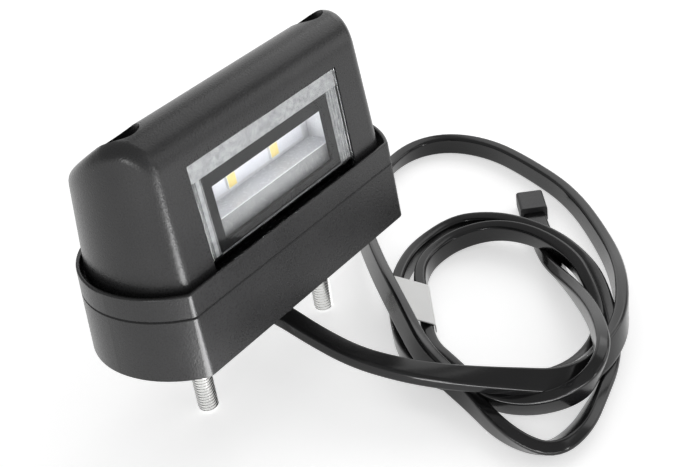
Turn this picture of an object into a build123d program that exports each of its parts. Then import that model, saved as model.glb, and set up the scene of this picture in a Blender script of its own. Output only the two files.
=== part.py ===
from build123d import *
import os
from math import asin, cos, degrees, pi, radians, sin, sqrt, tan

# Number plate lamp. Millimetres and degrees. The origin is the centre of the mounting face on
# the line of the two studs, +Z points up through the hood and the lens looks along -Y.

# Base tray and collar frame
base_length = 88.5        # over the bulged ends, at the mounting face
base_depth = 38.5
base_end_radius = 25.5    # plan radius of the bulged ends, front half
rear_bulge = 1.143        # their rear half's radius as a share of the half depth
base_corner = 2.5
base_height = 15.0        # mounting face to the parting line
base_draft = 3.0
tray_wall = 2.0
tray_floor = 3.0
collar_height = 5.7
collar_wall = 1.0
shelf_thickness = 2.0
lip_width = 0.9           # outer lip that hides the gasket
gasket_height = 1.0
skirt_depth = 2.5
skirt_wall = 1.2
parting_chamfer = 0.3

# Hood
groove_front = 1.15       # open groove between the collar's wall and the hood, at its top
groove_end = 1.9
hood_height = 53.4        # crown above the mounting face
hood_draft = 4.8
hood_wall = 2.2
crown_radius = 8.0
roof_fall = 35.0          # the roof falls to the rear at this angle
rear_radius = 6.0
end_round = 3.6
seal_thickness = 0.8
seal_width = 3.6

# Cover screws and their wells
well_inset = 10.0         # well's axis inside the hood's end
well_y = -2.0
well_radius = 4.7
well_wall = 1.6
well_floor = 7.0          # thickness of the well's floor above the shelf
screw_radius = 1.95
screw_head_radius = 3.8
screw_head_height = 2.6
screw_length = 19.0
screw_recess = 1.3
boss_wall = 1.9

# Mounting studs
stud_inset = 21.75        # stud's axis inside the base's end
stud_radius = 2.5
stud_reach = 26.0         # below the mounting face
stud_tip = 0.8
stud_neck = 2.25          # radius of the plain neck in the base's floor
stud_head_flats = 8.0
stud_head_height = 3.5
stud_rim_height = 3.0
stud_rim_wall = 1.2

# Lens, mask and what is behind them, measured along the leaning front face
lens_inset = 19.55        # lens's edge inside the base's end
lens_top = 23.8           # above the collar's top
lens_recess = 0.15
lens_plate = 1.2
lens_flange = 1.5         # the rear ring stands out past the window by this
lens_ring_depth = 1.2
lens_edge = 0.35
ring_side = 3.6           # the ring's inner opening inside the lens edge
ring_bottom = 1.0
ring_top = 4.5
mask_thickness = 1.9
mask_lip = 0.6            # thickness left round the opening's front edge
mask_step = 0.8           # the opening is this much wider behind the lip
mask_side = 2.2           # width of the mask's frame at the sides, foot and head
mask_sill = 1.9
mask_head = 3.1
reflector_inset = 2.2     # inside the lens's edge
reflector_bottom = 2.4
reflector_top = 19.4
reflector_wall = 1.2
reflector_floor = 7.0     # bench level above the collar's top
board_margin = 3.3        # from the board's end to the reflector's side wall
board_bottom = 8.6
board_top = 15.6
board_depth = 8.8         # board face behind the hood's face
board_thickness = 1.2
led_spacing = 14.6
led_level = 10.6
led_width = 2.8
led_tall = 3.5
led_height = 0.8
phosphor_width = 2.5
phosphor_tall = 2.9
phosphor_depth = 0.35
part_window = 11.0        # half width of the opening behind the board
resistor_size = (3.2, 1.6, 0.6)
resistor_spacing = 5.0
diode_size = (4.4, 2.6, 2.1)

# Cable, grommet and strain relief
cable_x = 0.0
cable_y = 3.0
cable_width = 6.0
cable_thickness = 3.2
grommet_neck = 5.4
grommet_flange = 7.0
grommet_flange_height = 1.4
grommet_nose = 4.0        # below the mounting face
tail_top = 12.5
clamp_width = 17.0
clamp_thickness = 2.2
clamp_low = 6.5
clamp_post = 4.0
clamp_screw_spacing = 11.6
clamp_screw_radius = 1.1
clamp_screw_head = 2.0
clamp_screw_reach = 3.2
wire_radius = 0.75
wire_spread = 1.5
wire_pad = 4.0
wire_pad_level = 2.2      # above the board's lower edge
wire_rise = 24.0

# Cable route outside the lamp: from the grommet's nose to the connector
cable_route = [
    (0, 3, -4), (0, 3, -7.5), (-0.5, -1, -10.5), (-1, -8.5, -11), (-1, -18.5, -12.8),
    (-1.7, -30.3, -14.2), (-0.7, -41.3, -14.8), (2.5, -50.5, -15.2), (6, -59, -15.6),
    (11, -66, -17.4), (18, -72, -19.4), (26.6, -75.3, -20.2), (35, -74.9, -20),
    (45.8, -72.6, -19.6), (60.4, -64.9, -20.6), (77.6, -52.1, -23.2), (93.8, -34, -24.4),
    (105, -15.2, -24.4), (109.9, 2.5, -24.4), (109, 17, -24.4), (99.5, 25, -24.4),
    (86.5, 26.4, -24.4), (70, 20, -24.4), (53, 9, -21.8), (35.4, -7.9, -17.5), (25.2, -20, -16.2),
    (17.2, -30.5, -16.2), (9.8, -41, -17), (5.6, -49.8, -19.2), (5.3, -57, -22.8),
    (2.8, -64.9, -24.4), (0.8, -73.5, -24.4), (5, -80.7, -24.4), (13.8, -82.2, -24.4),
    (24.9, -78.8, -24.4), (38.4, -74.5, -24.4), (50.5, -68.7, -24.4), (60.5, -61, -23.8),
    (65, -51, -21.4), (68, -41, -19.8), (70.5, -30, -20), (71, -19, -21.8), (66, -10.5, -23.6),
    (56, -7.5, -24.4), (44, -11, -24.4), (34, -15.5, -24.4), (24.5, -21, -24.4),
    (15.5, -29.5, -24.4), (11.5, -40.5, -24.4), (13.5, -52, -24.4), (18.5, -62, -24.4),
    (26.5, -68, -24.4), (37.5, -69.5, -24.4), (48.5, -65.5, -23.6), (56, -59.5, -20.8),
    (61.5, -50, -17.6), (64.5, -38, -17.6), (65, -26, -20.2), (60.5, -17, -23), (53, -13.6, -24),
    (43.3, -16, -23), (19.9, -35.4, -23), (17.3, -39.2, -22), (14, -45.5, -19.8),
    (9.5, -54.5, -19.8), (8, -62.5, -22), (9, -70.5, -22.6), (13, -77, -19.8), (19.5, -81, -16.6),
    (28, -79.5, -15.4), (34.5, -74, -16.2), (43, -65.5, -18.6), (53.5, -55.5, -22),
    (64, -45, -24.4), (70.5, -38, -24.4), (76.2, -33.1, -24.4), (81.5, -28.8, -24.4),
]
largest_bend = 120.0

# Connector at the cable's end and the label on the cable
connector_length = 9.0
connector_width = 7.4
connector_height = 4.8
connector_round = 0.8
connector_socket = 6.0
connector_wall = 1.0
contact_spacing = 2.8
contact_size = 0.9
contact_length = 4.5
label_length = 17.0
label_reach = 12.0
label_turn = 2.4          # part folded down beside the strand
label_lean = 27.0         # the flag rises from the strand at this angle
label_round = 1.2
label_thickness = 0.3
label_gap = 0.2
label_strand = 60         # the label sits on the run that starts at this point of the route
label_start = 10.6        # distance from that point to the label
label_crossing = 25       # the run that starts here crosses above and the flag ends beside it
label_clear = 3.3

# Clearances
fit = 0.1
clearance = 0.15
bore_clearance = 0.2

UP = (0, 0, 1)
ON_TOP = (Align.CENTER, Align.CENTER, Align.MIN)
collar_top = base_height + collar_height
shelf_top = base_height + shelf_thickness
hood_foot = shelf_top + seal_thickness
base_slope = tan(radians(base_draft))
hood_slope = tan(radians(hood_draft))
base_rear_radius = rear_bulge * base_depth / 2
collar_inset = collar_top * base_slope + collar_wall
hood_length = base_length - 2 * (collar_inset + groove_end)
hood_depth = base_depth - 2 * (collar_inset + groove_front)
hood_end_radius = base_end_radius - collar_inset
well_x = hood_length / 2 - well_inset
stud_x = base_length / 2 - stud_inset
half_lens = base_length / 2 - lens_inset
reflector_half = half_lens - reflector_inset
board_half = reflector_half - reflector_wall - board_margin
bulk = 2 * base_length


def plan_outline(length, depth, radius, corner):
    """Flat plan shape with straight front and back and bulged ends."""
    half_length = length / 2
    half_depth = depth / 2
    corner_x = half_length - radius + sqrt(radius ** 2 - half_depth ** 2)
    face = make_face([
        ThreePointArc((corner_x, -half_depth), (half_length, 0), (corner_x, half_depth)),
        Line((corner_x, half_depth), (-corner_x, half_depth)),
        ThreePointArc((-corner_x, half_depth), (-half_length, 0), (-corner_x, -half_depth)),
        Line((-corner_x, -half_depth), (corner_x, -half_depth)),
    ])
    return fillet(face.vertices(), corner) if corner > 0 else face


def base_plan(drawn_in):
    """The base's plan, drawn in all round; its ends are rounder behind than in front."""
    half_depth = base_depth / 2 - drawn_in
    front_arc = base_end_radius - drawn_in
    rear_arc = base_rear_radius - drawn_in
    front_centre = base_length / 2 - base_end_radius
    rear_centre = base_length / 2 - base_rear_radius
    front_swing = degrees(asin(half_depth / front_arc))
    rear_swing = degrees(asin(half_depth / rear_arc))
    right_front = CenterArc((front_centre, 0), front_arc, -front_swing, front_swing)
    right_rear = CenterArc((rear_centre, 0), rear_arc, 0, rear_swing)
    left_rear = CenterArc((-rear_centre, 0), rear_arc, 180 - rear_swing, rear_swing)
    left_front = CenterArc((-front_centre, 0), front_arc, 180, front_swing)
    face = make_face([
        right_front, right_rear, Line(right_rear @ 1, left_rear @ 0),
        left_rear, left_front, Line(left_front @ 1, right_front @ 0),
    ])
    corners = face.vertices().filter_by(lambda vertex: abs(vertex.Y) > half_depth / 2)
    return fillet(corners, max(base_corner - drawn_in, base_corner / 4))


def body_block(low, high, inset):
    """Drafted block of the base's plan, drawn in by an inset, between two heights."""
    plan = base_plan(inset + low * base_slope)
    return extrude(Pos(0, 0, low) * plan, amount=high - low, dir=UP, taper=base_draft)


def column(x, y, low, high, radius):
    return Pos(x, y, low) * Cylinder(radius, high - low, align=ON_TOP)


def slot_column(low, high, grow):
    """Upright block with the cable's flat section."""
    section = SlotOverall(cable_width + 2 * grow, cable_thickness + 2 * grow)
    return extrude(Pos(cable_x, cable_y, low) * section, amount=high - low, dir=UP)


# Base tray
tray = body_block(0, base_height, 0) - body_block(tray_floor, base_height, tray_wall)
tray -= body_block(base_height - gasket_height, base_height, lip_width)
tray = chamfer(tray.faces().sort_by(Axis.Z)[-1].outer_wire().edges(), parting_chamfer)
rim_flats = stud_head_flats + 2 * clearance
for side in (-1, 1):
    tray += column(side * well_x, well_y, tray_floor, base_height, screw_radius + boss_wall)
    rim = RegularPolygon(rim_flats / 2 + stud_rim_wall, 6, major_radius=False, rotation=30)
    pocket = RegularPolygon(rim_flats / 2, 6, major_radius=False, rotation=30)
    tray += extrude(Pos(side * stud_x, 0, tray_floor) * rim, amount=stud_rim_height, dir=UP)
    tray -= extrude(Pos(side * stud_x, 0, tray_floor) * pocket, amount=base_height - tray_floor, dir=UP)
post_y = cable_y + cable_thickness / 2 + fit
tray += Pos(cable_x, post_y + clamp_post / 2, tray_floor) * Box(
    clamp_width, clamp_post, tail_top - tray_floor, align=ON_TOP)
for side in (-1, 1):
    tray -= column(side * well_x, well_y, base_height - screw_length + well_floor, base_height,
                   screw_radius + fit / 2)
    tray -= column(side * stud_x, 0, 0, tray_floor, stud_radius + bore_clearance / 2)
    screw_hole = Cylinder(clamp_screw_radius + fit / 2, clamp_screw_reach + fit)
    tray -= Pos(cable_x + side * clamp_screw_spacing / 2, post_y + (clamp_screw_reach + fit) / 2,
                (clamp_low + tail_top) / 2) * Rot(90, 0, 0) * screw_hole
tray -= column(cable_x, cable_y, 0, tray_floor, grommet_neck)

# Gasket in the parting joint
gasket = body_block(base_height - gasket_height, base_height, lip_width + fit)
gasket -= body_block(base_height - gasket_height, base_height, tray_wall - fit)

# Collar frame: rim wall, shelf under the hood and a skirt inside the tray
shelf_opening_width = 2 * (well_x - well_radius - well_wall - 2 * clearance)
shelf_opening_depth = hood_depth - 2 * (seal_width + 2)
collar = body_block(base_height, collar_top, 0) - body_block(shelf_top, collar_top, collar_wall)
rim_edges = collar.faces().sort_by(Axis.Z)[-1].edges()
collar = fillet(rim_edges, collar_wall * 0.42)
collar = chamfer(collar.faces().sort_by(Axis.Z)[0].outer_wire().edges(), parting_chamfer)
skirt_inset = tray_wall + fit
collar += (body_block(base_height - skirt_depth, base_height, skirt_inset)
           - body_block(base_height - skirt_depth, base_height, skirt_inset + skirt_wall))
collar -= Pos(0, 0, base_height) * Box(shelf_opening_width, shelf_opening_depth,
                                       shelf_thickness, align=ON_TOP)
for side in (-1, 1):
    collar -= column(side * well_x, well_y, base_height, shelf_top, screw_radius + bore_clearance)


# Hood
def half_depth_at(height):
    return hood_depth / 2 - (height - collar_top) * hood_slope


def hood_ends(low, inset):
    """Drafted block whose bulged ends close the hood, wider than the hood front to back."""
    rise = (collar_top - low) * hood_slope
    plan = plan_outline(hood_length + 2 * (rise - inset), hood_depth + 2 * (rise + 1),
                        hood_end_radius + rise - inset, 0)
    return extrude(Pos(0, 0, low) * plan, amount=hood_height - low + 1, dir=UP, taper=hood_draft)


profile_low = hood_foot - 2 * hood_wall
crown_z = hood_height - crown_radius
crown_y = crown_radius / cos(radians(hood_draft)) - half_depth_at(crown_z)
front_tangent = (crown_y - crown_radius * cos(radians(hood_draft)),
                 crown_z + crown_radius * sin(radians(hood_draft)))
roof_tangent = (crown_y + crown_radius * sin(radians(roof_fall)),
                crown_z + crown_radius * cos(radians(roof_fall)))
roof_slope = tan(radians(roof_fall))
rear_run = ((half_depth_at(roof_tangent[1]) - roof_tangent[0])
            / (1 - hood_slope * roof_slope))
rear_corner = (roof_tangent[0] + rear_run, roof_tangent[1] - rear_run * roof_slope)
profile = make_face([
    Line((-half_depth_at(profile_low), profile_low), front_tangent),
    ThreePointArc(front_tangent, (crown_y, hood_height), roof_tangent),
    Line(roof_tangent, rear_corner),
    Line(rear_corner, (half_depth_at(profile_low), profile_low)),
    Line((half_depth_at(profile_low), profile_low), (-half_depth_at(profile_low), profile_low)),
])
rear_vertex = profile.vertices().sort_by_distance((rear_corner[0], rear_corner[1], 0))[0]
profile = fillet(rear_vertex, rear_radius)
inner_profile = offset(profile, amount=-hood_wall)
hood_outer = extrude(Plane.YZ * profile, amount=hood_length, both=True) & hood_ends(hood_foot, 0)
end_loops = hood_outer.edges().filter_by(
    lambda edge: abs(edge.center().X) > well_x and edge.bounding_box().max.Z > hood_foot + 1)
end_loops = [edge for edge in end_loops if abs(edge.bounding_box().max.X) < hood_length]
hood_outer = fillet(end_loops, end_round)
hood_inner = (extrude(Plane.YZ * inner_profile, amount=hood_length, both=True)
              & hood_ends(hood_foot - 1, hood_wall))
hood = hood_outer - hood_inner
for side in (-1, 1):
    tube = column(side * well_x, well_y, hood_foot, hood_height, well_radius + well_wall)
    hood += tube & hood_outer
    hood += column(side * well_x, well_y, shelf_top, hood_foot + well_wall, well_radius + well_wall)
for side in (-1, 1):
    hood -= column(side * well_x, well_y, shelf_top + well_floor, hood_height + 1, well_radius)
    hood -= column(side * well_x, well_y, shelf_top, shelf_top + well_floor,
                   screw_radius + bore_clearance)

# Everything behind the window is set out on the leaning front face: across, up it and outwards
front = Plane(origin=(0, -hood_depth / 2, collar_top), x_dir=(1, 0, 0),
              z_dir=(0, -cos(radians(hood_draft)), sin(radians(hood_draft)))).location


def front_block(half_width, low, high, deep, shallow):
    """Block on the front face between two levels and two depths behind it."""
    centre = Pos(0, (low + high) / 2, -(deep + shallow) / 2)
    return front * centre * Box(2 * half_width, high - low, deep - shallow)


foot_drop = (collar_top - hood_foot) * 2
hood -= front_block(half_lens + clearance, -foot_drop, lens_top + clearance,
                    hood_wall + well_wall, -hood_wall)

# Lens: plate in the window and a ring behind the hood's wall
plate_back = lens_recess + lens_plate
ring_front = hood_wall + fit
ring_back = ring_front + lens_ring_depth
lens = front_block(half_lens, -foot_drop, lens_top, plate_back, lens_recess)
lens = chamfer(lens.faces().sort_by(Axis.Y)[0].edges(), lens_edge)
lens += front_block(half_lens + lens_flange, -foot_drop, lens_top + lens_flange, ring_back, ring_front)
lens += front_block(half_lens, -foot_drop, lens_top, ring_front, plate_back)
lens -= front_block(half_lens - ring_side, ring_bottom, lens_top - ring_top, ring_back, plate_back)
lens &= Pos(0, 0, hood_foot) * Box(bulk, bulk, bulk, align=ON_TOP)

# Window mask inside the lens ring
mask_half = half_lens - ring_side - fit
mask_low = ring_bottom + fit
mask_high = lens_top - ring_top - fit
mask_front = ring_back - mask_thickness
mask = front_block(mask_half, mask_low, mask_high, ring_back, mask_front)
mask -= front_block(mask_half - mask_side, mask_low + mask_sill, mask_high - mask_head,
                    ring_back, mask_front)
mask -= front_block(mask_half - mask_side + mask_step, mask_low + mask_sill - mask_step,
                    mask_high - mask_head + mask_step, ring_back, mask_front + mask_lip)

# Reflector tray: bench floor, apron, side walls and a back wall with an opening for the parts
board_back = board_depth + board_thickness
reflector_back = board_back + reflector_wall
reflector_front = ring_back + fit / 2
reflector = front_block(reflector_half, reflector_bottom, reflector_top, reflector_back, reflector_front)
reflector -= front_block(reflector_half - reflector_wall, reflector_floor, reflector_top - reflector_wall,
                         board_back, reflector_front)
reflector -= front_block(reflector_half - reflector_wall, reflector_bottom,
                         reflector_floor - reflector_wall, reflector_back,
                         reflector_front + reflector_wall)
reflector -= front_block(part_window, board_bottom + 1, board_top - 1, reflector_back, board_back)

# LED board and what is soldered to it
board = front_block(board_half, board_bottom, board_top, board_back, board_depth)
led_bodies = []
phosphors = []
for side in (-1, 1):
    across = Pos(side * led_spacing / 2, led_level, -board_depth)
    body = Box(led_width, led_tall, led_height, align=ON_TOP)
    window = Pos(0, 0, led_height - phosphor_depth) * Box(
        phosphor_width, phosphor_tall, phosphor_depth, align=ON_TOP)
    led_bodies.append(front * across * (body - window))
    phosphors.append(front * across * window)
behind = front * Pos(0, (board_bottom + board_top) / 2, -board_back)
resistors = []
for side in (-1, 1):
    chip = Box(*resistor_size, align=(Align.CENTER, Align.CENTER, Align.MAX))
    chip_x = -part_window / 2 + side * resistor_spacing / 2
    resistors.append(behind * Pos(chip_x, 1, 0) * chip)
diode = behind * Pos(part_window / 2 + 1, 1, 0) * Box(
    *diode_size, align=(Align.CENTER, Align.CENTER, Align.MAX))

# Hood seal between the hood's foot and the shelf
seal_rise = (collar_top - hood_foot) * hood_slope
seal_plan = plan_outline(hood_length + 2 * (seal_rise - fit), hood_depth + 2 * (seal_rise - fit),
                         hood_end_radius + seal_rise - fit, end_round)
seal_hole = plan_outline(hood_length + 2 * (seal_rise - seal_width),
                         hood_depth + 2 * (seal_rise - seal_width),
                         hood_end_radius + seal_rise - seal_width, base_corner / 4)
seal = extrude(Pos(0, 0, shelf_top) * (seal_plan - seal_hole), amount=seal_thickness, dir=UP)
for side in (-1, 1):
    seal -= column(side * well_x, well_y, shelf_top, hood_foot, well_radius + well_wall + clearance)

# Mounting studs
studs = []
for side in (-1, 1):
    shank = column(side * stud_x, 0, -stud_reach, 0, stud_radius)
    shank = chamfer(shank.edges().sort_by(Axis.Z)[0], stud_tip)
    neck = column(side * stud_x, 0, 0, tray_floor, stud_neck)
    head = RegularPolygon(stud_head_flats / 2, 6, major_radius=False, rotation=30)
    head = extrude(Pos(side * stud_x, 0, tray_floor) * head, amount=stud_head_height, dir=UP)
    studs.append(shank + neck + head)

# Cover screws
cover_screws = []
seat = shelf_top + well_floor
for side in (-1, 1):
    shank = column(side * well_x, well_y, seat - screw_length, seat, screw_radius)
    head = column(side * well_x, well_y, seat, seat + screw_head_height, screw_head_radius)
    head = fillet(head.edges().sort_by(Axis.Z)[-1], screw_head_height / 3)
    screw = shank + head
    for turn in (0, 90):
        screw -= Pos(side * well_x, well_y, seat + screw_head_height) * Rot(0, 0, turn) * Box(
            screw_head_radius, screw_recess * 0.6, 2 * screw_recess)
    cover_screws.append(screw)

# Cable grommet, the straight end of the cable in it and the strain relief
grommet = column(cable_x, cable_y, tray_floor, tray_floor + grommet_flange_height, grommet_flange)
grommet -= Pos(cable_x, post_y, tray_floor) * Box(
    clamp_width, grommet_flange, grommet_flange_height, align=(Align.CENTER, Align.MIN, Align.MIN))
grommet += column(cable_x, cable_y, -grommet_nose, tray_floor, grommet_neck - fit / 2)
nose_edge = grommet.edges().filter_by(GeomType.CIRCLE).sort_by(Axis.Z)[0]
grommet = fillet(nose_edge, 1.0)
grommet -= slot_column(-grommet_nose, tray_floor + grommet_flange_height, fit / 2)
tail = slot_column(-grommet_nose, tail_top, 0)
clamp_y = cable_y - cable_thickness / 2 - fit
clamp = Pos(cable_x, clamp_y - clamp_thickness / 2, clamp_low) * Box(
    clamp_width, clamp_thickness, tail_top - clamp_low, align=ON_TOP)
foot_gap = post_y - clamp_y - fit
clamp_feet = []
for side in (-1, 1):
    spread = cable_x + side * clamp_screw_spacing / 2
    foot_width = clamp_width / 2 - cable_width / 2 - fit
    clamp_feet.append(Pos(cable_x + side * (clamp_width - foot_width) / 2, clamp_y + foot_gap / 2, clamp_low)
                      * Box(foot_width, foot_gap, tail_top - clamp_low, align=ON_TOP))
clamp += clamp_feet
clamp_screws = []
for side in (-1, 1):
    middle = Pos(cable_x + side * clamp_screw_spacing / 2, clamp_y - clamp_thickness,
                 (clamp_low + tail_top) / 2)
    thickness = post_y - clamp_y + clamp_thickness
    clamp -= middle * Rot(-90, 0, 0) * Cylinder(clamp_screw_radius + fit, thickness, align=ON_TOP)
    shank = Rot(-90, 0, 0) * Cylinder(clamp_screw_radius, thickness + clamp_screw_reach, align=ON_TOP)
    head = Rot(90, 0, 0) * Cylinder(clamp_screw_head, clamp_screw_head * 0.7, align=ON_TOP)
    clamp_screws.append(middle * (shank + head))


# Wires from the cable's end up to the back of the board
def wire(side):
    pad = (front * Pos(side * wire_pad, board_bottom + wire_pad_level, -board_back)).position
    start = Vector(cable_x + side * wire_spread, cable_y, tail_top)
    knee = Vector(cable_x + side * wire_spread, cable_y, wire_rise)
    turn = Vector(pad.X, pad.Y + 4 * cos(radians(hood_draft)), pad.Z - 4 * sin(radians(hood_draft)))
    path = FilletPolyline(start, knee, turn, pad, radius=1.6)
    section = Plane(origin=start, z_dir=(0, 0, 1)) * Circle(wire_radius)
    return sweep(section, path=path)


# Cable tube: straight runs joined by tangent arcs
def bend_radii(points):
    radii = []
    for before, here, after in zip(points, points[1:], points[2:]):
        run_in = Vector(here) - Vector(before)
        run_out = Vector(after) - Vector(here)
        half_turn = radians(run_in.get_angle(run_out)) / 2
        radii.append(min(0.45 * min(run_in.length, run_out.length) / tan(half_turn), largest_bend))
    return radii


cable_radii = bend_radii(cable_route)
cable_path = FilletPolyline(*cable_route, radius=cable_radii)
cable_start = Plane(origin=cable_route[0], z_dir=cable_path % 0)
cable = sweep(cable_start * Circle(cable_thickness / 2), path=cable_path)
print("bend radii", [round(radius, 1) for radius in cable_radii])
print("cable length", round(cable_path.length, 1), "volume ratio",
      round(cable.volume / (pi * cable_thickness ** 2 / 4 * cable_path.length), 4))

# Connector on the cable's end
run = Vector(cable_route[-1]) - Vector(cable_route[-2])
across_run = Vector(-run.Y, run.X, 0)
socket = Plane(origin=cable_route[-1], x_dir=across_run, z_dir=run).location
lift = Pos(0, connector_height / 2 - cable_thickness / 2, 0)
connector = socket * lift * Box(connector_width, connector_height, connector_length, align=ON_TOP)
connector = fillet(connector.edges().filter_by(Axis((0, 0, 0), run)), connector_round)
connector -= socket * lift * Pos(0, 0, connector_length - connector_socket) * Box(
    connector_width - 2 * connector_wall, connector_height - 2 * connector_wall,
    connector_socket, align=ON_TOP)
contacts = []
for side in (-1, 1):
    contacts.append(socket * lift * Pos(side * contact_spacing / 2, 0, connector_length - connector_socket)
                    * Box(contact_size, contact_size, contact_length, align=ON_TOP))

# Flag label laid over the strand, which stands on its narrow edge there, and folded down beside it
strand_a = Vector(cable_route[label_strand])
strand_b = Vector(cable_route[label_strand + 1])
along = (strand_b - strand_a).normalized()
label_place = Plane(origin=strand_a + along * label_start, x_dir=Vector(UP).cross(along),
                    z_dir=along).location
lean_x = cos(radians(label_lean))
lean_y = sin(radians(label_lean))
fold_in = cable_thickness / 2 + label_gap
fold_out = fold_in + label_thickness
flag_in = cable_width / 2 + label_gap
flag_out = flag_in + label_thickness
corner_in = (flag_in - fold_in * lean_y) / lean_x
corner_out = (flag_out - fold_out * lean_y) / lean_x
sheet = make_face(Polyline(
    (fold_out, corner_out - label_turn), (fold_out, corner_out),
    (fold_out - label_reach * lean_x, corner_out + label_reach * lean_y),
    (fold_in - label_reach * lean_x, corner_in + label_reach * lean_y),
    (fold_in, corner_in), (fold_in, corner_out - label_turn), close=True))
sheet = fillet(sheet.vertices().sort_by_distance((fold_out, corner_out, 0))[0], label_round + label_thickness)
sheet = fillet(sheet.vertices().sort_by_distance((fold_in, corner_in, 0))[0], label_round)
label = extrude(label_place * sheet, amount=label_length, dir=along)
crossing = Vector(cable_route[label_crossing])
beside = (Vector(cable_route[label_crossing + 1]) - crossing).cross(Vector(UP)).normalized()
label -= Plane(origin=crossing - beside * label_clear, x_dir=beside, z_dir=UP).location * Box(
    bulk, bulk, bulk, align=(Align.MIN, Align.CENTER, Align.CENTER))

nodes = {
    "base_tray": tray,
    "collar_frame": collar,
    "hood": hood,
    "lens": lens,
    "window_mask": mask,
    "reflector_tray": reflector,
    "led_board": board,
    "led_packages": Compound(led_bodies),
    "led_phosphors": Compound(phosphors),
    "series_resistors": Compound(resistors),
    "polarity_diode": diode,
    "hood_seal": seal,
    "tray_gasket": gasket,
    "mounting_studs": Compound(studs),
    "cover_screws": Compound(cover_screws),
    "cable_grommet": grommet,
    "cable_tail": tail,
    "cord_clamp": clamp,
    "clamp_screws": Compound(clamp_screws),
    "live_wire": wire(1),
    "earth_wire": wire(-1),
    "supply_cable": cable,
    "cable_label": label,
    "connector_body": connector,
    "connector_contacts": Compound(contacts),
}
os.makedirs("parts", exist_ok=True)
for name, shape in nodes.items():
    export_step(shape, f"parts/{name}.step")
    print(name, round(shape.volume, 1))
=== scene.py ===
# %% [markdown]
# # A number plate lamp
# The lamp is a black moulded housing with two LEDs behind a clear window, two threaded studs under its
# base and a flat cable in a loose coil. Its solids come packed from CAD in metres, one object for each
# node. They could be modelled again here, but keeping them means that the picture and the part agree, so
# this lesson adds finishes, light and the few pieces that are better made in Blender.

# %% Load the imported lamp
from math import cos, pi, radians, sin

import bmesh
import bpy
from mathutils import Matrix, Quaternion, Vector


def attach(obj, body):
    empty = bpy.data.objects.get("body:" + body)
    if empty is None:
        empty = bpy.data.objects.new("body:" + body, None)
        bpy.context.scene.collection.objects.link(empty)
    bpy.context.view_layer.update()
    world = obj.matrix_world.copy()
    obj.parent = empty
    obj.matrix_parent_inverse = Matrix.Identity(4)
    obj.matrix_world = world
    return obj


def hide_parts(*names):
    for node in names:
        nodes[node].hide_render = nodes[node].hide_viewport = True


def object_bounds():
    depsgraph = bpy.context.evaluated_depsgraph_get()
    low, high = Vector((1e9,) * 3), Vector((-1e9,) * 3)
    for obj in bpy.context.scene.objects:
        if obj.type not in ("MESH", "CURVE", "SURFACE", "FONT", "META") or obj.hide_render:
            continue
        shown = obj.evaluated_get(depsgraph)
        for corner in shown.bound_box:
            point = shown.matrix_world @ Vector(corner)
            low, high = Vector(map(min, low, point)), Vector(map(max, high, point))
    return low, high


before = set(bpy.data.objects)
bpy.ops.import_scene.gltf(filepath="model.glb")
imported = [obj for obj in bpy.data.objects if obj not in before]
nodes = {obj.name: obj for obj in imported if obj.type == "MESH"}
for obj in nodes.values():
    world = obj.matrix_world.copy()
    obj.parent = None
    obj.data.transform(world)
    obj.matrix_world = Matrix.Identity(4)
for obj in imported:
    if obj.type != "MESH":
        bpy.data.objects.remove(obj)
cad_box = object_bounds()
MM = 0.001
print("solids:", len(nodes), "CAD box in mm:", [[round(v / MM, 1) for v in corner] for corner in cad_box])

# %% [markdown]
# ## Camera
# The lamp was photographed from its left front, a little above, with a short telephoto lens and the
# camera rolled a few degrees. A camera could be placed by eye and nudged, but then no edge would ever
# line up. Place, aim, roll and focal length are numbers here, in millimetres and pixels, so that every
# later piece can be judged in the same frame.

# %% Camera at the photographer's place
photo_width = 700
focal_pixels = 1277.75
camera_place = Vector((-175.23, -188.99, 165.71)) * MM
camera_aim = Vector((18.25, -16.65, 4.09)) * MM
camera_roll = radians(-8.84)

camera_data = bpy.data.cameras.new("photo_camera")
camera_data.sensor_width = 36.0
camera_data.lens = camera_data.sensor_width * focal_pixels / photo_width
camera_data.clip_start = 0.01
camera = bpy.data.objects.new("photo_camera", camera_data)
camera.location = camera_place
camera.rotation_mode = "QUATERNION"
level_view = (camera_aim - camera_place).to_track_quat("-Z", "Y")
camera.rotation_quaternion = level_view @ Quaternion((0, 0, 1), camera_roll)
bpy.context.scene.collection.objects.link(camera)
bpy.context.scene.camera = camera
bpy.context.scene.view_settings.view_transform = "Standard"
print("lens", round(camera_data.lens, 1), "mm")

# %% [markdown]
# ## Helpers
# Every finish below starts in the same way: a material with one Principled shader, read on the object's
# own coordinates so that its pattern stays with the piece. Building that by hand each time would hide
# what differs, so two helpers do it. A third tells the rays that show the background from those that
# carry light, which is how a studio table can look white without lighting the lamp.

# %% Helpers for node trees
def new_finish(name):
    """A material with one Principled shader: returns the material, its node tree and the shader."""
    material = bpy.data.materials.new(name)
    material.use_nodes = True
    tree = material.node_tree
    return material, tree, tree.nodes["Principled BSDF"]


def own_coords(tree):
    """The coordinates of the object that wears the finish."""
    return tree.nodes.new("ShaderNodeTexCoord").outputs["Object"]


def seen_directly(tree):
    """1 for rays that show the background: from the camera, a mirror or a window."""
    path = tree.nodes.new("ShaderNodeLightPath")
    total = path.outputs["Is Camera Ray"]
    for kind in ("Is Glossy Ray", "Is Transmission Ray"):
        add = tree.nodes.new("ShaderNodeMath")
        add.operation = "MAXIMUM"
        tree.links.new(total, add.inputs[0])
        tree.links.new(path.outputs[kind], add.inputs[1])
        total = add.outputs[0]
    return total


# %% [markdown]
# ## Floor
# A lamp photographed for a catalogue stands on a white sweep. It could be made white with more light, but
# that would bleach the lamp too. Here it is a wide pale sheet with a small share of white of its own for
# the rays that look at it, so it stays white around the soft shadow that the lamp casts. The tips of the
# studs and the lowest strands of the cable stand on it.

# %% Floor
floor_gap = 0.05 * MM
floor_half = 3.0
floor_glow = 0.54
floor_level = cad_box[0].z - floor_gap

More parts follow.
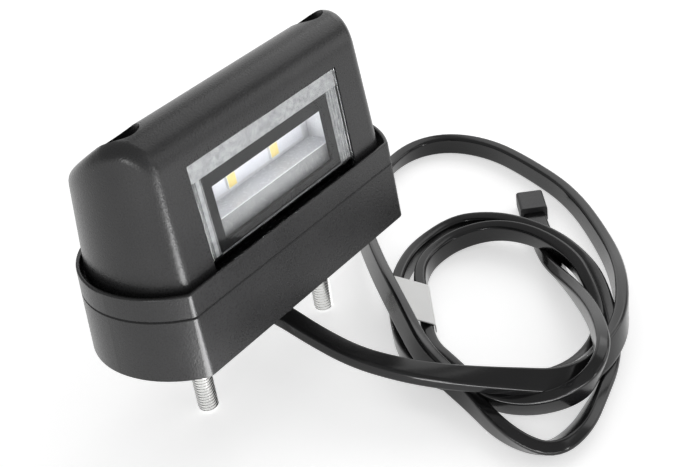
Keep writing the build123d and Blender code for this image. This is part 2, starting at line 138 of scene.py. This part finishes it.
bm = bmesh.new()
bmesh.ops.create_grid(bm, x_segments=1, y_segments=1, size=floor_half)
bmesh.ops.translate(bm, verts=bm.verts, vec=(0, 0, floor_level))
floor_mesh = bpy.data.meshes.new("floor")
bm.to_mesh(floor_mesh)
bm.free()
floor = bpy.data.objects.new("floor", floor_mesh)
bpy.context.scene.collection.objects.link(floor)

floor_white, tree, shader = new_finish("floor_white")
shader.inputs["Base Color"].default_value = (0.86, 0.86, 0.86, 1)
shader.inputs["Roughness"].default_value = 0.9
shader.inputs["Specular IOR Level"].default_value = 0.0
shader.inputs["Emission Color"].default_value = (1, 1, 1, 1)
glow = tree.nodes.new("ShaderNodeMath")
glow.operation = "MULTIPLY"
glow.inputs[1].default_value = floor_glow
tree.links.new(seen_directly(tree), glow.inputs[0])
tree.links.new(glow.outputs[0], shader.inputs["Emission Strength"])
floor_mesh.materials.append(floor_white)
print("floor at", round(floor_level / MM, 2), "mm")

# %% [markdown]
# ## Room
# The room round the table is an even, dim white. A picture of a studio would give livelier reflections but
# needs a file, and black plastic shows mostly what it mirrors, so the room is kept at a level at which the
# faces of the lamp come out as the dark greys that they are.

# %% World
room_level = 0.42
world = bpy.data.worlds.new("studio")
bpy.context.scene.world = world
world.use_nodes = True
background = world.node_tree.nodes["Background"]
background.inputs["Color"].default_value = (1, 1, 1, 1)
background.inputs["Strength"].default_value = room_level
print("room level", room_level)


# %% [markdown]
# ## Softboxes
# Flat lamps stand in for a photographer's softboxes. One large lamp would give the same amount of light,
# but the corners of the housing would lose their bright lines. Three narrow strips draw those lines: one
# lies on the table before the near corner, because an upright face mirrors the table, one stands in front
# and one at the left. Four wide ones fill the front, the right, the roof and the crown.

# %% Softboxes
def softbox(name, place, aim, width, height, level):
    """A flat lamp of even brightness, turned to a point and itself out of the picture."""
    lamp = bpy.data.lights.new(name, "AREA")
    lamp.shape = "RECTANGLE"
    lamp.size = width
    lamp.size_y = height
    lamp.energy = level * pi * width * height
    holder = bpy.data.objects.new(name, lamp)
    holder.location = place
    holder.rotation_euler = (Vector(aim) - Vector(place)).to_track_quat("-Z", "Y").to_euler()
    holder.visible_camera = False
    bpy.context.scene.collection.objects.link(holder)
    print(name, round(lamp.energy, 2), "W")


lamp_middle = (0, 0, 0.02)
strip_lift = 0.3 * MM
strip_place = Vector((-0.05, -0.11, floor_level + strip_lift))
above_strip = strip_place + Vector((0, 0, 1))
softbox("table_strip", strip_place, above_strip, width=0.05, height=0.13, level=14.0)
softbox("edge_strip", (-0.03, -0.7, 0.05), lamp_middle, width=0.06, height=0.16, level=16.0)
softbox("left_strip", (-0.75, -0.16, 0.08), lamp_middle, width=0.12, height=0.16, level=14.0)
softbox("front_softbox", (0.2, -0.75, 0.5), lamp_middle, width=0.4, height=0.4, level=0.8)
softbox("right_softbox", (0.66, -0.55, 0.25), lamp_middle, width=0.4, height=0.4, level=1.6)
softbox("back_softbox", (0.85, 0.5, 0.4), lamp_middle, width=1.1, height=0.8, level=0.8)
softbox("top_softbox", (0.62, -0.02, 0.6), lamp_middle, width=0.6, height=0.5, level=1.3)

# %% [markdown]
# ## Finishes
# Nearly everything on the lamp is moulded: a fine spark-eroded grain breaks up the gloss, and larger,
# fainter patches keep a wide face from looking printed. A photographed texture would repeat and would have
# to be wrapped, so noise in the object's own space is used instead. One helper makes that kind of finish
# from two tones, a range of roughness and the size and depth of the grain. A noise keeps mostly between
# a low and a high level, and tones and roughness are spread over that stretch.

# %% Noise, tones and relief
noise_low = 0.3
noise_high = 0.7
patch_grains = 40


def grain(tree, coords, size):
    """Noise with grains of about one size, in metres."""
    noise = tree.nodes.new("ShaderNodeTexNoise")
    noise.inputs["Scale"].default_value = 1 / size
    tree.links.new(coords, noise.inputs["Vector"])
    return noise.outputs[0]


def spread(tree, source, low, high):
    """A number that follows a noise from low to high."""
    reach = tree.nodes.new("ShaderNodeMapRange")
    reach.inputs["From Min"].default_value = noise_low
    reach.inputs["From Max"].default_value = noise_high
    reach.inputs["To Min"].default_value = low
    reach.inputs["To Max"].default_value = high
    tree.links.new(source, reach.inputs["Value"])
    return reach.outputs["Result"]


def tones(tree, source, dark, light):
    """A colour that follows a noise from dark to light."""
    ramp = tree.nodes.new("ShaderNodeValToRGB")
    levels = (noise_low, noise_high)
    for element, place, tone in zip(ramp.color_ramp.elements, levels, (dark, light)):
        element.position = place
        element.color = (*tone, 1)
    tree.links.new(source, ramp.inputs["Fac"])
    return ramp.outputs["Color"]


def relief(tree, shader, height, depth):
    """Bump of a given depth, in metres."""
    bump = tree.nodes.new("ShaderNodeBump")
    bump.inputs["Distance"].default_value = depth
    tree.links.new(height, bump.inputs["Height"])
    tree.links.new(bump.outputs["Normal"], shader.inputs["Normal"])


def moulded(name, dark, light, rough, grain_size, grain_depth, specular=0.5):
    """Plastic, rubber or paper with a fine grain over faint wide patches."""
    material, tree, shader = new_finish(name)
    coords = own_coords(tree)
    patches = grain(tree, coords, patch_grains * grain_size)
    fine = grain(tree, coords, grain_size)
    tree.links.new(tones(tree, patches, dark, light), shader.inputs["Base Color"])
    tree.links.new(spread(tree, fine, *rough), shader.inputs["Roughness"])
    shader.inputs["Specular IOR Level"].default_value = specular
    relief(tree, shader, fine, grain_depth)
    return material


def dress(material, *names):
    """Gives a finish to CAD nodes by name."""
    for name in names:
        nodes[name].data.materials.clear()
        nodes[name].data.materials.append(material)
    print(material.name, "on", ", ".join(names))


# %% [markdown]
# ### Black plastic of the body
# Base, collar and hood are one grade of black nylon with an eroded texture. Its grain is a little under
# half a millimetre. It could be modelled as relief, but at this size it only breaks up the highlights,
# which bump does as well, and so the mouldings keep their clean faces.

# %% Black plastic
black_plastic = moulded("black_plastic", dark=(0.015, 0.015, 0.0155), light=(0.023, 0.023, 0.0235),
                        rough=(0.25, 0.33), grain_size=0.42 * MM, grain_depth=0.045 * MM, specular=0.44)
dress(black_plastic, "base_tray", "collar_frame", "hood")

# %% [markdown]
# ### Rubber, sheath and small dark mouldings
# Seals are matt rubber, the cable's sheath is smooth and glossy, and the mask behind the window is a matt
# black that should mirror next to nothing. They could share the housing's finish, but side by side their
# gloss tells them apart, so each gets its own tone and roughness.

# %% Rubber, sheath and small dark mouldings
seal_rubber = moulded("seal_rubber", dark=(0.01, 0.01, 0.01), light=(0.016, 0.016, 0.016),
                      rough=(0.6, 0.8), grain_size=0.2 * MM, grain_depth=0.01 * MM)
dress(seal_rubber, "hood_seal", "tray_gasket", "cable_grommet")
cable_sheath = moulded("cable_sheath", dark=(0.007, 0.007, 0.0073), light=(0.012, 0.012, 0.0123),
                       rough=(0.14, 0.2), grain_size=0.6 * MM, grain_depth=0.0015 * MM, specular=0.4)
dress(cable_sheath, "cable_tail")
mask_plastic = moulded("mask_plastic", dark=(0.006, 0.006, 0.0065), light=(0.011, 0.011, 0.0115),
                       rough=(0.4, 0.55), grain_size=0.25 * MM, grain_depth=0.01 * MM, specular=0.1)
dress(mask_plastic, "window_mask")
connector_plastic = moulded("connector_plastic", dark=(0.03, 0.03, 0.031), light=(0.045, 0.045, 0.046),
                            rough=(0.45, 0.6), grain_size=0.3 * MM, grain_depth=0.012 * MM)
dress(connector_plastic, "connector_body", "cord_clamp", "polarity_diode")

# %% [markdown]
# ### White board, LEDs and paper
# The board carries a bluish white lacquer, the LED packages are a warmer white and their phosphor is yellow
# when it is off. The label is plain coated paper. Each could be a flat colour, but faint patches keep these
# small pale faces from looking like paper cut-outs.

# %% White board, LEDs and paper
board_white = moulded("board_white", dark=(0.8, 0.8, 0.86), light=(0.86, 0.86, 0.9),
                      rough=(0.3, 0.42), grain_size=0.3 * MM, grain_depth=0.004 * MM)
dress(board_white, "led_board")
led_white = moulded("led_white", dark=(0.82, 0.82, 0.8), light=(0.88, 0.88, 0.86),
                    rough=(0.35, 0.5), grain_size=0.2 * MM, grain_depth=0.004 * MM)
dress(led_white, "led_packages")
led_phosphor = moulded("led_phosphor", dark=(0.9, 0.72, 0.27), light=(0.94, 0.78, 0.34),
                       rough=(0.3, 0.45), grain_size=0.15 * MM, grain_depth=0.004 * MM)
dress(led_phosphor, "led_phosphors")
label_paper = moulded("label_paper", dark=(0.9, 0.9, 0.89), light=(0.94, 0.94, 0.93),
                      rough=(0.55, 0.7), grain_size=0.35 * MM, grain_depth=0.01 * MM)
dress(label_paper, "cable_label")

# %% [markdown]
# ### Reflector tray
# The tray behind the window is one white moulding. Light falls on its bench, in front of the board, and
# the apron below the bench stays in shade and looks grey through the lens. That grey is painted shade:
# two materials would need a cut through the solid, so one material paints a darker tone below the
# bench's edge. That edge leans with the hood's front, so a dot product with the face's own upward
# direction measures the height instead of plain Z. The painted shade starts just under the edge and is
# full a little lower.

# %% Reflector
face_lean = radians(4.8)
face_origin = Vector((0, -16.015, 20.7)) * MM
face_up = Vector((0, sin(face_lean), cos(face_lean)))
bench_rise = 7.0 * MM
bench_height = face_origin.dot(face_up) + bench_rise
shade_full = 0.3 * MM
shade_start = 0.1 * MM
apron_patch = 6 * MM
# painted shade: the apron's darker grey tones stand for the shade below the bench
apron_shade_dark = (0.24, 0.24, 0.245)
apron_shade_light = (0.3, 0.3, 0.305)

reflector_plastic = moulded("reflector_plastic", dark=(0.78, 0.78, 0.8), light=(0.86, 0.86, 0.88),
                            rough=(0.2, 0.3), grain_size=0.8 * MM, grain_depth=0.0005 * MM)
tree = reflector_plastic.node_tree
shader = tree.nodes["Principled BSDF"]
coords = own_coords(tree)
rise = tree.nodes.new("ShaderNodeVectorMath")
rise.operation = "DOT_PRODUCT"
rise.inputs[1].default_value = face_up
tree.links.new(coords, rise.inputs[0])
above = tree.nodes.new("ShaderNodeMapRange")
above.inputs["From Min"].default_value = bench_height - shade_full
above.inputs["From Max"].default_value = bench_height - shade_start
tree.links.new(rise.outputs["Value"], above.inputs["Value"])
# the apron's painted shade, mixed in below the bench's edge
apron = tones(tree, grain(tree, coords, apron_patch), apron_shade_dark, apron_shade_light)
bench = shader.inputs["Base Color"].links[0].from_socket
choice = tree.nodes.new("ShaderNodeMix")
choice.data_type = "RGBA"
tree.links.new(above.outputs["Result"], choice.inputs["Factor"])
tree.links.new(apron, choice.inputs["A"])
tree.links.new(bench, choice.inputs["B"])
tree.links.new(choice.outputs["Result"], shader.inputs["Base Color"])
dress(reflector_plastic, "reflector_tray")

# %% [markdown]
# ### Wires and chips
# Inside the lamp two insulated wires lead from the cable to the board, and small chips sit behind it.
# They could be left bare, because the assembled lamp hides them, but with plain finishes of their own an
# opened lamp still reads correctly.

# %% Wires and chips on the board
live_brown = moulded("live_wire", dark=(0.2, 0.08, 0.03), light=(0.26, 0.11, 0.05),
                     rough=(0.35, 0.5), grain_size=0.3 * MM, grain_depth=0.005 * MM)
dress(live_brown, "live_wire")
earth_white = moulded("earth_wire", dark=(0.7, 0.7, 0.68), light=(0.78, 0.78, 0.76),
                      rough=(0.35, 0.5), grain_size=0.3 * MM, grain_depth=0.005 * MM)
dress(earth_white, "earth_wire")
resistor_ceramic = moulded("resistor_ceramic", dark=(0.04, 0.04, 0.045), light=(0.06, 0.06, 0.066),
                           rough=(0.5, 0.7), grain_size=0.2 * MM, grain_depth=0.006 * MM)
dress(resistor_ceramic, "series_resistors")


# %% [markdown]
# ### Metals
# Studs and screws are zinc-plated steel and the contacts are brass. A grey plastic would pass from afar,
# but metal mirrors its surroundings in its own colour, so the Metallic socket is set and the tone becomes
# the colour of the reflection. Faint stains come from the same patches as on the plastics.

# %% Metals
def metal(name, **look):
    """A plated or bare metal with faint stains and fine marks."""
    material = moulded(name, **look)
    material.node_tree.nodes["Principled BSDF"].inputs["Metallic"].default_value = 1.0
    return material


stud_steel = metal("stud_steel", dark=(0.88, 0.88, 0.87), light=(0.95, 0.95, 0.94),
                   rough=(0.16, 0.26), grain_size=0.25 * MM, grain_depth=0.002 * MM)
screw_steel = metal("screw_steel", dark=(0.5, 0.5, 0.5), light=(0.62, 0.62, 0.61),
                    rough=(0.28, 0.42), grain_size=0.25 * MM, grain_depth=0.004 * MM)
contact_brass = metal("contact_brass", dark=(0.66, 0.5, 0.22), light=(0.78, 0.62, 0.3),
                      rough=(0.22, 0.34), grain_size=0.2 * MM, grain_depth=0.003 * MM)
dress(screw_steel, "cover_screws", "clamp_screws")
dress(contact_brass, "connector_contacts")

# %% [markdown]
# ## Lens
# The lens is one clear moulding: a plate that fills the window, and behind its rim a frosted ring that
# hides how it is welded in. The plate and the ring are made apart, because one is polished and the other
# is etched white. Both are set out on the hood's leaning front face: across, up the face and outwards.

# %% Frame of the leaning front face
face_frame = Matrix.Translation(face_origin) @ Matrix.Rotation(radians(90) - face_lean, 4, "X")
print("front face starts at", [round(v / MM, 1) for v in face_frame.translation], "mm")


# %% [markdown]
# ### Helpers for new pieces
# A new piece could be made with the operators of edit mode, but those need a selection and a context. A
# bmesh needs neither: it is filled, closed into a mesh and attached to the lamp, and the CAD nodes whose
# place it takes are hidden. The lens is made of blocks, most of them with softened edges, so two more
# helpers add a block and break its edges.

# %% Helpers for new pieces
def add_piece(name, bm, material, *replaced):
    """Closes a bmesh into a piece that rides on the lamp and stands for the given CAD nodes."""
    bmesh.ops.recalc_face_normals(bm, faces=bm.faces)
    mesh = bpy.data.meshes.new(name)
    bm.to_mesh(mesh)
    bm.free()
    mesh.materials.append(material)
    piece = bpy.data.objects.new(name, mesh)
    bpy.context.scene.collection.objects.link(piece)
    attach(piece, "root")
    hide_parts(*replaced)
    print(name, "faces:", len(mesh.polygons))
    return piece


def add_block(bm, low, high):
    """Adds a box between two corners and returns its vertices."""
    low, high = Vector(low), Vector(high)
    verts = bmesh.ops.create_cube(bm, size=1)["verts"]
    bmesh.ops.scale(bm, verts=verts, vec=high - low)
    bmesh.ops.translate(bm, verts=verts, vec=(low + high) / 2)
    return verts


def break_edges(bm, edges, size):
    """Rounds edges a little, as no moulded edge is quite sharp."""
    bmesh.ops.bevel(bm, geom=edges, offset=size, segments=2, profile=0.5, affect="EDGES", material=-1)


# %% [markdown]
# ### Polished plate
# The window is clear polished plastic. Alpha blending would be cheaper but has no refraction, so the plate
# transmits light. Light from the lamps would have to find its way through by chance, which is noisy. For
# shadow rays alone the shader is therefore swapped for a transparent one, and the lamps shine in.

# %% Finish of the polished plate
haze_size = 1.5 * MM
haze_depth = 0.002 * MM
haze_rough = (0.01, 0.04)

clear_lens, tree, shader = new_finish("clear_lens")
shader.inputs["Base Color"].default_value = (0.97, 0.98, 0.98, 1)
shader.inputs["Transmission Weight"].default_value = 1.0
shader.inputs["IOR"].default_value = 1.3
haze = grain(tree, own_coords(tree), haze_size)
tree.links.new(spread(tree, haze, *haze_rough), shader.inputs["Roughness"])
relief(tree, shader, haze, haze_depth)
lets_lamps_in = tree.nodes.new("ShaderNodeBsdfTransparent")
lets_lamps_in.inputs["Color"].default_value = (0.93, 0.94, 0.94, 1)
choice = tree.nodes.new("ShaderNodeMixShader")
path = tree.nodes.new("ShaderNodeLightPath")
tree.links.new(path.outputs["Is Shadow Ray"], choice.inputs["Fac"])
tree.links.new(shader.outputs["BSDF"], choice.inputs[1])
tree.links.new(lets_lamps_in.outputs["BSDF"], choice.inputs[2])
tree.links.new(choice.outputs["Shader"], tree.nodes["Material Output"].inputs["Surface"])
print(clear_lens.name, "roughness", haze_rough)

# %% [markdown]
# The plate itself is a box with softly broken edges. It is made upright in the plane of the face, where its
# sizes are easy to read, and then turned and moved as a whole onto the leaning front.

# %% Plate
plate_half = 24.7 * MM
plate_foot = -2.9 * MM
plate_head = 23.8 * MM
plate_front = -0.15 * MM
plate_back = -1.35 * MM
plate_edge = 0.3 * MM

bm = bmesh.new()
add_block(bm, (-plate_half, plate_foot, plate_back), (plate_half, plate_head, plate_front))
break_edges(bm, bm.edges[:], plate_edge)
bmesh.ops.transform(bm, matrix=face_frame, verts=bm.verts)
lens_plate = add_piece("lens_plate", bm, clear_lens, "lens")

# %% [markdown]
# ### Frosted ring
# Behind the plate's rim the moulding turns into ribs and steps that scatter the light. They could be cut
# from one block, but ribs with a groove between them are simpler to set out as bars side by side, each with
# its edges broken, below one wide band along the top.

# %% Frosted ring
ring_side = 3.6 * MM
ring_foot = 1.0 * MM
ring_head = 4.5 * MM
ring_back = -3.5 * MM
ring_gap = 0.02 * MM
groove = 0.3 * MM
line_height = 0.15 * MM
rib_edge = 0.1 * MM
left_ribs = (1.2, 0.5, 1.5, 0.4)
right_ribs = (0.7, 0.9, 0.8, 0.5, 0.7)
ring_front = plate_back - ring_gap
ring_low = plate_head - ring_head
frosted_lens = moulded("frosted_lens", dark=(0.2, 0.2, 0.205), light=(0.33, 0.33, 0.335),
                       rough=(0.2, 0.5), grain_size=0.03 * MM, grain_depth=0.01 * MM)


def add_bars(bm, left, right, widths):
    """Adds upright bars side by side, each with a share of the width and a groove after it."""
    scale = (right - left) / sum(widths)
    for width in widths:
        right_edge = left + scale * width - groove
        verts = add_block(bm, (left, ring_foot, ring_back), (right_edge, ring_low, ring_front))
        edges = dict.fromkeys(edge for vert in verts for edge in vert.link_edges)
        break_edges(bm, list(edges), rib_edge)
        left += scale * width


bm = bmesh.new()
add_block(bm, (-plate_half, ring_low, ring_back), (plate_half, plate_head, ring_front))
add_bars(bm, -plate_half, ring_side - plate_half, left_ribs)
add_bars(bm, plate_half - ring_side, plate_half, right_ribs)
add_block(bm, (ring_side - plate_half, ring_foot - line_height, ring_back),
          (plate_half - ring_side, ring_foot, ring_front))
bmesh.ops.transform(bm, matrix=face_frame, verts=bm.verts)
lens_ring = add_piece("lens_ring", bm, frosted_lens, "lens")

# %% [markdown]
# ### Clear sill
# Below the window the ring is clear, so that the dark edge of the mask shows through. The plate could be
# made deeper there, but a block of the same clear finish is simpler. It fills the place behind the foot of
# the plate, with a fine gap to keep two clear faces from lying in one plane.

# %% Clear sill
sill_head = ring_foot - 2 * line_height

bm = bmesh.new()
add_block(bm, (-plate_half, plate_foot, ring_back), (plate_half, sill_head, ring_front))
bmesh.ops.transform(bm, matrix=face_frame, verts=bm.verts)
lens_sill = add_piece("lens_sill", bm, clear_lens, "lens")

# %% [markdown]
# ## Cable
# The lamp is wired with a flat two-core cable that lies in loose turns beside it. Such a cable twists as
# it bends: it leaves the lamp lying flat and then stands on its narrow edge in the coil. A simulation could
# lay it, but not in these turns, so its line is one NURBS spline along the route's points, and each point
# has a fourth number, the roll in degrees, with 0 for flat and 90 for on edge.

# %% Route of the cable
route_mm = [
    (0, 3, -4, 0), (0, 2.9, -7.5, 0), (-0.5, -1, -9.8, 0), (-1.1, -8.1, -9.8, -10),
    (-1.2, -18.6, -12.9, -16), (-1.8, -30.4, -14.3, -12), (-0.3, -41.4, -14.8, -4), (2.3, -50.6, -15.2, 3),
    (6, -59.1, -15.6, 11), (9.7, -67, -15.8, 21), (13.9, -74.2, -16.5, 34), (20.8, -77.7, -17.1, 51),
    (30.2, -78, -17.5, 67), (41.6, -75.9, -17.7, 84), (57.5, -67.3, -19.4, 102), (73.8, -55.3, -22.5, 100),
    (92.9, -34.8, -23, 92), (102.1, -15.4, -22.9, 87), (107.7, 1, -22.9, 84), (106.3, 15.6, -22.9, 78),
    (97.4, 23.6, -22.9, 69), (83.2, 24, -23, 64), (66.6, 18.3, -22.6, 65), (51, 7.7, -20.8, 66),
    (35.7, -8.4, -17.7, 68), (25.7, -20, -16.2, 67), (17.4, -30.5, -16.2, 68), (9.8, -40.5, -17.1, 72),
    (7.9, -48.4, -20.3, 78), (5.9, -56.3, -22.5, 86), (1.2, -65.9, -23, 98), (-0.7, -74.6, -22.9, 122),
    (0.9, -80.7, -23, 147), (9.5, -82.3, -23, 139), (19.6, -80.7, -23, 120), (29.5, -79, -23, 103),
    (41.8, -73.7, -23.2, 94), (56.6, -62.5, -21.6, 86), (61.9, -55.1, -19.8, 80), (67.6, -44.1, -19.5, 76),
    (69.8, -30.6, -19.5, 74), (68.7, -20.6, -20.5, 75), (65, -12.6, -22.1, 79), (52.4, -9.7, -23, 84),
    (42.2, -11.8, -22.9, 88), (33.6, -15.7, -23, 89), (23.3, -22.7, -23, 91), (13.9, -31.8, -23, 93),
    (9.1, -42, -23, 95), (10.9, -53.6, -23, 97), (16.2, -64.6, -23, 97), (24.1, -71.1, -23, 96),
    (35.4, -72.1, -23, 90), (45.9, -68.1, -22.8, 84), (53.6, -61.4, -20.9, 79), (61.7, -52.7, -19.7, 75),
    (67.3, -38.2, -19.5, 72), (66.5, -26.2, -20, 72), (60.9, -17.4, -22.2, 80), (51.6, -14.9, -23, 86),
    (44.2, -16.5, -23, 90), (38.7, -19.8, -23, 90), (35.6, -22.4, -23, 90), (22.5, -33.2, -23, 90),
    (19.9, -35.4, -23, 90), (16.2, -39.8, -22.6, 92), (12.8, -46.6, -21.6, 96), (9, -54.6, -21.2, 102),
    (6.7, -62.2, -21.3, 108), (8.6, -70.9, -20.4, 114), (12.5, -78, -17.8, 112), (15.8, -81.5, -13.7, 108),
    (22.4, -80.8, -12.3, 102), (30.2, -76.3, -13.5, 95), (40.8, -68.3, -16.9, 87),
    (51.3, -58.1, -20.8, 74), (59.6, -47.8, -22.9, 50), (68.6, -40, -23.8, 12), (75.3, -34.1, -24.4, 0),
    (81.5, -28.8, -24.4, 0),
]
cable_width = 6.0 * MM
cable_thickness = 3.2 * MM

line = bpy.data.curves.new("cable_line", "CURVE")
line.dimensions = "3D"
line.twist_mode = "Z_UP"
spline = line.splines.new("NURBS")
spline.points.add(len(route_mm) - 1)
for point, (x, y, z, roll) in zip(spline.points, route_mm):
    point.co = (x * MM, y * MM, z * MM, 1)
    point.tilt = radians(roll)
spline.order_u = 3
spline.use_endpoint_u = True
spline.resolution_u = 6
line_holder = bpy.data.objects.new("cable_line", line)
bpy.context.scene.collection.objects.link(line_holder)
line_mesh = bpy.data.meshes.new_from_object(line_holder)

# %% [markdown]
# ### Sheath
# The sheath is a flat section with rounded edges, 6 by 3.2 millimetres. A round bevel would be a single
# setting but gives the wrong strands, so the section is a small closed curve that is swept along the line.
# The swept curve is then turned into a mesh.

# %% Flat section and sheath
edge_radius = 0.9 * MM
edge_steps = 6
flat_x = cable_width / 2 - edge_radius
flat_y = cable_thickness / 2 - edge_radius

section = bpy.data.curves.new("cable_section", "CURVE")
section.dimensions = "2D"
outline = section.splines.new("POLY")
corners = []
for quarter, (side_x, side_y) in enumerate(((1, 1), (-1, 1), (-1, -1), (1, -1))):
    centre = Vector((side_x * flat_x, side_y * flat_y))
    for step in range(edge_steps + 1):
        angle = (quarter + step / edge_steps) * pi / 2
        corners.append(centre + edge_radius * Vector((cos(angle), sin(angle))))
outline.points.add(len(corners) - 1)
for point, corner in zip(outline.points, corners):
    point.co = (*corner, 0, 1)
outline.use_cyclic_u = True
section_holder = bpy.data.objects.new("cable_section", section)
bpy.context.scene.collection.objects.link(section_holder)
line.bevel_mode = "OBJECT"
line.bevel_object = section_holder
line.use_fill_caps = True
depsgraph = bpy.context.evaluated_depsgraph_get()
sheath_mesh = bpy.data.meshes.new_from_object(line_holder.evaluated_get(depsgraph), depsgraph=depsgraph)
sheath_mesh.materials.clear()
sheath_mesh.materials.append(cable_sheath)
supply_cable = bpy.data.objects.new("flat_cable", sheath_mesh)
bpy.context.scene.collection.objects.link(supply_cable)
for spent in (line_holder, section_holder):
    bpy.data.objects.remove(spent)
bpy.data.meshes.remove(line_mesh)
for face in sheath_mesh.polygons:
    face.use_smooth = True
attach(supply_cable, "root")
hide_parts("supply_cable")
print("sheath faces:", len(sheath_mesh.polygons))

# %% [markdown]
# ## Threaded studs
# Two steel screws stand out of the base to hold the lamp to its bracket. A thread is one V-shaped ridge
# wound round a core, so one pitch of its outline is spun with a rise of one pitch for each turn and the
# turns are merged. A few spare turns reach past both ends, where they are cut off square, and the tip is
# turned down to a cone.

# %% Stud sizes
stud_x = 22.5 * MM
stud_radius = 2.5 * MM
stud_reach = 26.0 * MM
stud_tip = 0.9 * MM
stud_neck = 2.25 * MM
neck_height = 3.0 * MM
head_across = 8.0 * MM
head_height = 3.5 * MM
thread_pitch = 0.8 * MM
thread_depth = 0.43 * MM
ridge_foot = 0.14
ridge_crest = 0.44
turn_steps = 32
turns_below = 2
turns_spare = 3
merge_distance = 0.001 * MM
print("studs:", round(2 * stud_radius / MM, 2), "mm wide, pitch", round(thread_pitch / MM, 2), "mm")


# %% One stud
def add_stud(bm, x):
    """Adds a threaded stud with its neck and hexagon head."""
    root = stud_radius - thread_depth
    rising = ((root, 0), (root, ridge_foot), (stud_radius, ridge_crest))
    falling = ((stud_radius, 1 - ridge_crest), (root, 1 - ridge_foot), (root, 1))
    verts = [bm.verts.new((r, 0, share * thread_pitch)) for r, share in rising + falling]
    edges = [bm.edges.new(pair) for pair in zip(verts, verts[1:])]
    turns = round(stud_reach / thread_pitch) + turns_spare
    bmesh.ops.spin(bm, geom=verts + edges, cent=(0, 0, 0), axis=(0, 0, 1), angle=2 * pi * turns,
                   dvec=(0, 0, thread_pitch / turn_steps), steps=turns * turn_steps)
    bmesh.ops.remove_doubles(bm, verts=bm.verts, dist=merge_distance)
    bmesh.ops.translate(bm, verts=bm.verts, vec=(0, 0, -stud_reach - turns_below * thread_pitch))
    for level, facing in ((-stud_reach, -1), (0, 1)):
        bmesh.ops.bisect_plane(bm, geom=bm.verts[:] + bm.edges[:] + bm.faces[:], plane_co=(0, 0, level),
                               plane_no=(0, 0, facing), clear_outer=True)
    for vert in bm.verts:
        limit = stud_radius - max(0, stud_tip - stud_reach - vert.co.z)
        across = vert.co.xy.length
        if across > limit:
            vert.co.xy *= limit / across
    ends = [edge for edge in bm.edges if edge.is_boundary]
    bmesh.ops.holes_fill(bm, edges=ends, sides=0)
    neck = bmesh.ops.create_cone(bm, cap_ends=True, segments=turn_steps, radius1=stud_neck,
                                 radius2=stud_neck, depth=neck_height)["verts"]
    bmesh.ops.translate(bm, verts=neck, vec=(0, 0, neck_height / 2))
    head_radius = head_across / 2 / cos(pi / 6)
    head = bmesh.ops.create_cone(bm, cap_ends=True, segments=6, radius1=head_radius, radius2=head_radius,
                                 depth=head_height)["verts"]
    bmesh.ops.rotate(bm, verts=head, matrix=Matrix.Rotation(pi / 6, 3, "Z"))
    bmesh.ops.translate(bm, verts=head, vec=(0, 0, neck_height + head_height / 2))
    bmesh.ops.translate(bm, verts=bm.verts, vec=(x, 0, 0))


for side, name in ((-1, "left_stud"), (1, "right_stud")):
    bm = bmesh.new()
    add_stud(bm, side * stud_x)
    stud = add_piece(name, bm, stud_steel, "mounting_studs")
